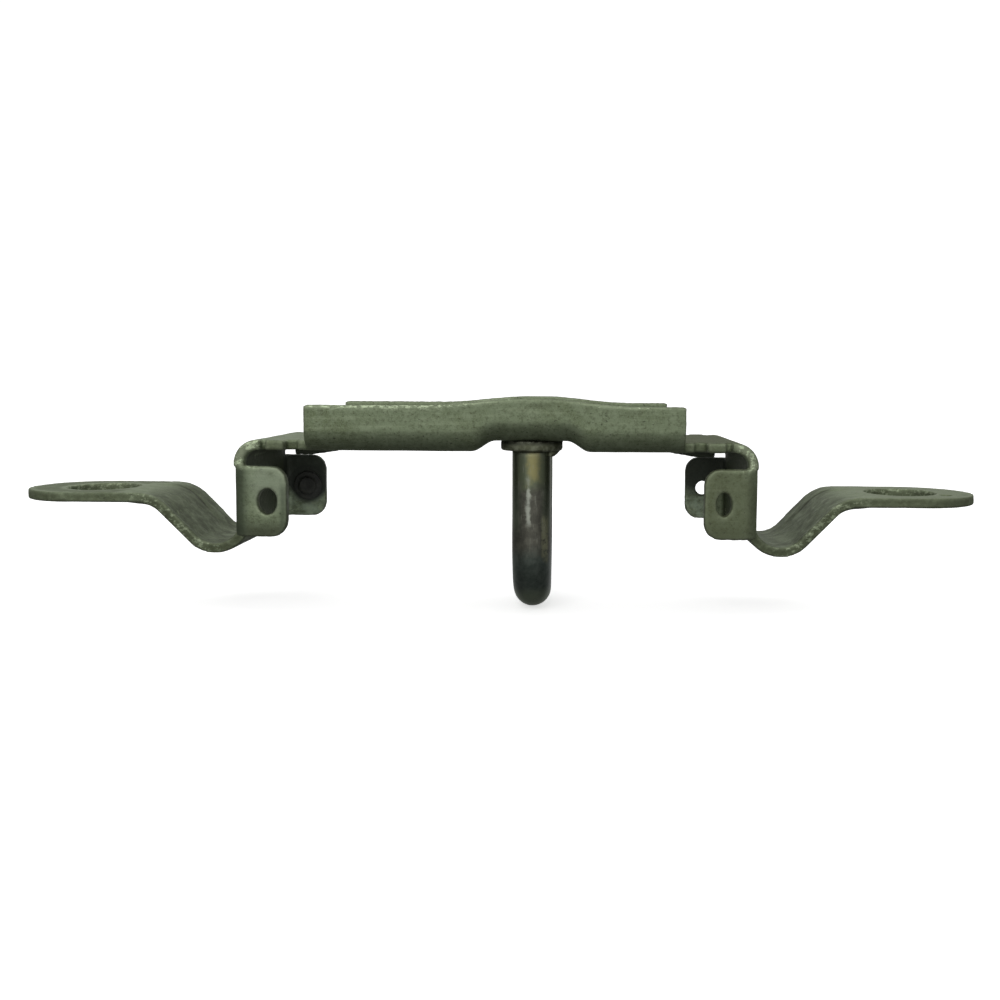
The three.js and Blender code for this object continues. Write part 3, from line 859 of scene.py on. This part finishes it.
def tones_and_painted_light_on_ears(f, colour):
    """Darker towards the front ears' feet; a painted pool of light on the left front ear, with dark green
    painted shade along its bend and free edge; painted shade on the right front ear and in the hollows.
    """
    x, y, z = f.x, f.y, f.z
    reach, width = x.math("ABSOLUTE"), y.math("ABSOLUTE")
    left_ear, right_ear = x.within(-54, -53, -42, -40), x.within(40, 42, 53, 54)
    # Darker towards the front ears' feet, more on the left ear than the right.
    ear_feet_darker = z.below(-7.6, -3.6) * (left_ear * 0.85 + right_ear * 0.4) * y.below(-15, -14)
    ears_toned = f.blend(ear_feet_darker, colour, (0.055, 0.062, 0.036))
    # Painted light: a pale pool of light on the left front ear.
    left_ear_lit = f.blend(f.ball(-44.8, -EAR_Y, 2.6, 2.5, 7.0) * 0.6, ears_toned, (0.330, 0.385, 0.280))
    # Painted shade, dark green, along the left front ear's rounded bend and its free edge.
    bend = x.within(-54, -53.5, -51.4, -48.8)
    free = x.within(-43.9, -42.8, -42, -41) * z.below(0.5, 4.0)
    outer = y.below(-14, -12) * z.below(5.0, 6.2)
    green = f.blend((bend * 0.68 + free * 0.6) * outer, left_ear_lit, (0.058, 0.078, 0.048))
    # Painted shade over the right front ear, round its hole.
    right_ear_shade = f.ball(EAR_HOLE_X, -EAR_Y, EAR_HOLE_Z, 6.0, 9.5)
    right_ear_shaded = f.blend(right_ear_shade * 0.5, green, (0.096, 0.107, 0.053))
    # Painted shade inside the bends and between the ears.
    hollow_shade = reach.within(39, 41, 51.4, 52) * width.below(15.0, 15.6) * z.below(9.3, 9.7)
    return f.blend(hollow_shade * 0.62, right_ear_shaded, (0.033, 0.040, 0.023))


def bare_edges(f, colour, flakes, behind):
    """Sheared edges darker than the faces, with bright flakes where they were stretched or scraped, painted
    highlights along convex edges and a burr with painted highlight on the flange's top.
    """
    torn, ridge, worked = f.mark("cut"), f.mark("ridge"), f.mark("worked")
    # A burr with a painted highlight along the front flange's top edge, strongest between x -38 and -3.
    burr_span = f.x.within(-38, -34, -10, -3) * 0.14
    ragged = f.cloud(0.6, 4, stretch=(1.8, 1, 1), offset=61, roughness=0.7)
    burr_and_highlight = f.mark("rim") * (ragged + burr_span).step(0.61, 0.71)
    edged = f.blend(torn * (0.62 - worked * 0.45), colour, (0.096, 0.113, 0.061))
    sheared = f.blend(torn * worked.step(0.7, 0.95) * 0.62, edged, (0.290, 0.325, 0.225))
    # Painted highlight along convex edges.
    edge_highlighted = f.blend(ridge * 0.3, sheared, (0.280, 0.315, 0.220))
    # behind adds bright flakes to the rear ears as painted light.
    open_metal = torn * (0.05 + worked) + ridge * (0.08 + worked * 0.5) + behind * 0.4
    bare = open_metal * flakes.step(0.51, 0.61) + burr_and_highlight
    return f.blend(bare.clipped(), edge_highlighted, (0.538, 0.626, 0.427))


def grease_and_shadow_on_ears(f):
    """Old grease and painted shadow: dark on the upper half of the rear ears in the shadow under the
    plate's ends, and old grease round the plug.
    """
    x, y, z = f.x, f.y, f.z
    inside = y.within(12.0, 14.5, 16.6, 17.4)
    ends = x.math("ABSOLUTE").step(37.5, 39.5)
    edge = z + f.cloud(2.4, 3, offset=9) * 3.2
    # Painted shadow of the plate's ends, with grease, over the rear ears' upper half.
    upper = inside * ends * edge.step(-1.4, 1.6) * z.below(8.9, 9.3)
    ring = f.ball(-EAR_HOLE_X, EAR_Y - SHEET, EAR_HOLE_Z, 3.2, 5.0)
    return (upper * 0.92 + ring).clipped()


def worn_wire():
    """Bare wire, polished by the latch with a painted highlight, stained golden and brown down its length,
    and dark blue-green at the bend as a painted reflection of the dark ground.
    """
    f = Finish("worn_steel")
    x, z = f.x, f.z
    height = z + f.cloud(3.2, 4, roughness=0.6) * 5 - 2.5
    across = x - LOOP_X
    patch, fine = f.cloud(1.6, 5, offset=13, roughness=0.65), f.cloud(0.3, 2)
    drawn = f.cloud(0.5, 3, stretch=(1, 1, 14), offset=41)
    rubs = f.cloud(0.28, 2, stretch=(1, 1, 9), offset=23).step(0.62, 0.7)

    # Painted reflection of the dark ground: dark blue-green from the bend down, lighter olive-green at the
    # very bottom.
    low = f.blend(patch.step(0.36, 0.66), (0.080, 0.110, 0.098), (0.142, 0.178, 0.158))
    brown = f.blend(patch.step(0.4, 0.64), (0.070, 0.068, 0.056), (0.122, 0.119, 0.096))
    foot = f.blend(height.step(-23.0, -18.5), (0.240, 0.300, 0.200), low)
    body = f.blend(height.step(-14.0, -9.5), foot, brown)
    side = across.math("ABSOLUTE").step(1.6, 3.4)
    green = f.blend(side * 0.7 * height.step(-9, -5), body, (0.165, 0.205, 0.140))
    crust = across.within(1.9, 2.6, 3.2, 3.7) * patch.step(0.32, 0.5)
    worn = crust * height.within(-14.0, -12.0, -5.0, -3.0)
    olive = f.blend(worn * 0.85, green, (0.32, 0.33, 0.20))
    upper = f.blend(height.step(0.5, 3.5), olive, (0.126, 0.150, 0.090))
    brassy = (across - 0.5).math("ABSOLUTE") + patch * 2.4
    gold = f.blend(height.step(2.2, 5.0) * brassy.below(1.5, 3.2), upper, (0.27, 0.25, 0.105))
    # Worn polish with a painted highlight: a bright streak down the front of the leg.
    streak = ((across + 0.55).math("ABSOLUTE") * -1.5 + patch * 2.8).step(0.3, 1.4)
    polish_and_highlight = streak * height.within(-6.5, -3.5, 1.5, 4.5)
    bright = f.blend(polish_and_highlight * 0.6, gold, (0.60, 0.64, 0.55))
    shine = (rubs * 0.35 + drawn.step(0.56, 0.7) * 0.2) * height.step(-13, -8)
    shiny = f.blend(shine, bright, (0.36, 0.37, 0.31))
    head = z.step(FLOOR_TOP - 0.1, FLOOR_TOP + 0.2)
    riveted = f.blend(head, shiny, (0.20, 0.23, 0.15))
    f.feed(
        Base_Color=f.blend(f.mark("ridge") * 0.4, riveted, (0.40, 0.42, 0.33)),
        Metallic=0.9,
        Roughness=(0.24 + patch * 0.2 + head * 0.2 - rubs * 0.06).clipped(),
        Normal=f.relief(fine * 0.25 + patch * 0.5 + drawn * 0.35, 0.05),
    )
    return f.material


def shadowed_collar():
    """Dull plated steel, with painted shadow darkening it where it meets the floor."""
    f = Finish("collar_steel")
    mottle, fine = f.cloud(1.4, 4), f.cloud(0.25, 2)
    plain = f.blend(mottle.step(0.36, 0.64), (0.10, 0.108, 0.066), (0.19, 0.205, 0.14))
    # Painted shadow under the channel's floor, across the collar's top.
    dark = f.z + mottle * 0.8
    shadowed_top = f.blend(dark.step(COLLAR_HIGH.z - 0.75, COLLAR_HIGH.z + 0.1), plain, (0.018, 0.019, 0.012))
    f.feed(
        Base_Color=f.blend(f.mark("ridge") * mottle.step(0.4, 0.6) * 0.6, shadowed_top, (0.36, 0.38, 0.28)),
        Metallic=0.75,
        Roughness=(0.42 + mottle * 0.2).clipped(),
        Normal=f.relief(fine * 0.3 + mottle * 0.7, 0.1),
    )
    return f.material


def dark_plug():
    """Near-black plug with a smear of grease."""
    f = Finish("dark_plug")
    smear, fine = f.cloud(1.2, 3), f.cloud(0.22, 2)
    f.feed(
        Base_Color=f.blend(smear.step(0.4, 0.65), (0.034, 0.038, 0.032), (0.056, 0.060, 0.050)),
        Metallic=0.0,
        Roughness=(0.38 + smear * 0.3).clipped(),
        Normal=f.relief(fine * 0.4 + smear * 0.8, 0.12),
    )
    return f.material


def pale_paper():
    """White paper that glows a little, so that it stays white."""
    f = Finish("pale_paper")
    f.feed(
        Base_Color=(0.9, 0.9, 0.9, 1),
        Roughness=0.85,
        Emission_Color=(1, 1, 1, 1),
        Emission_Strength=0.62,
    )
    return f.material


# ---------------------------------------------------------------- assembly

def fit_out(piece, node, material):
    piece.data.materials.clear()
    piece.data.materials.append(material)
    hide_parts(node)
    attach(piece, "root")


collar_finish = shadowed_collar()
fit_out(make_bracket(), "bracket", zinced_steel())
fit_out(make_loop(), "striker_loop", worn_wire())
fit_out(make_collar("collar_front", "front_collar", weld=True), "front_collar", collar_finish)
fit_out(make_collar("collar_rear", "rear_collar", weld=False), "rear_collar", collar_finish)
fit_out(make_plug(), "ear_plug", dark_plug())


# ---------------------------------------------------------------- floor, light and camera

def paper_bowl(floor_z):
    """A round sheet of paper that lies under the bracket and curves up all round it."""
    flat_radius, curve, rise, sides = 1.8, 0.8, 3.0, 96
    line = [(0.0, floor_z), (flat_radius, floor_z)]
    for k in range(1, 25):
        angle = math.radians(90 * k / 24)
        line.append((flat_radius + curve * math.sin(angle), floor_z + curve * (1 - math.cos(angle))))
    line.append((flat_radius + curve, floor_z + rise))
    turns = [2 * math.pi * k / sides for k in range(sides)]
    vertices = [(r * math.cos(t) / MM, r * math.sin(t) / MM, z / MM) for r, z in line for t in turns]
    faces = []
    for i in range(len(line) - 1):
        for k in range(sides):
            after = (k + 1) % sides
            faces.append((i * sides + k, i * sides + after, (i + 1) * sides + after, (i + 1) * sides + k))
    paper = new_object("paper_bowl", vertices, faces)
    paper.data.shade_smooth()
    paper.data.materials.append(pale_paper())
    # The paper neither lights the steel nor keeps the room's light off it.
    paper.visible_glossy = False
    paper.visible_diffuse = False
    paper.visible_shadow = False


def soft_light(name, place, target, size, power):
    lamp = bpy.data.lights.new(name, "AREA")
    lamp.shape = "RECTANGLE"
    lamp.size, lamp.size_y = size
    lamp.energy = power
    made = bpy.data.objects.new(name, lamp)
    made.location = place
    made.rotation_euler = (Vector(target) - Vector(place)).to_track_quat("-Z", "Y").to_euler()
    bpy.context.scene.collection.objects.link(made)


def room_light(above, below, beside, behind):
    """Soft light from all round: strong in front and above, weaker below, beside and behind."""
    world = bpy.data.worlds.new("room")
    bpy.context.scene.world = world
    room = Tree(world, "Background")
    direction = room.node("ShaderNodeTexCoord").outputs["Generated"]
    x, y, z = room.parts(direction)
    upwards = z.step(-0.75, 0.2) * (above - below) + below
    sideways = x.math("ABSOLUTE").step(0.2, 0.95) * (beside - 1) + 1
    backwards = y.step(0.1, 0.9) * (behind - 1) + 1
    room.feed(Color=(1, 1, 1, 1), Strength=upwards * sideways * backwards)


def camera():
    """A level view from the front, with the lens raised and shifted a little."""
    data = bpy.data.cameras.new("camera")
    data.sensor_width = 36.0
    data.lens = 37.8252
    data.shift_x, data.shift_y = -0.0565, -0.0453
    data.clip_start, data.clip_end = 0.01, 20
    made = bpy.data.objects.new("camera", data)
    left, down, roll = math.radians(0.5), math.radians(4.0), math.radians(0.377)
    aim = Matrix.Rotation(left, 4, "Z") @ Matrix.Rotation(math.pi / 2 - down, 4, "X")
    aim = aim @ Matrix.Rotation(roll, 4, "Z")
    made.matrix_world = Matrix.Translation((0.01408, -0.22793, 0.0236)) @ aim
    bpy.context.scene.collection.objects.link(made)
    bpy.context.scene.camera = made


paper_bowl(LOOP_LOW.z * MM)
room_light(above=0.92, below=0.10, beside=0.34, behind=0.62)
soft_light("key", (-0.14, -0.65, 0.40), (0, 0, 0), (0.35, 0.35), 1.3)
soft_light("top", (0.05, 0.30, 0.80), (0, 0, 0), (0.7, 0.5), 0.8)
camera()
bpy.context.scene.view_settings.view_transform = "Standard"
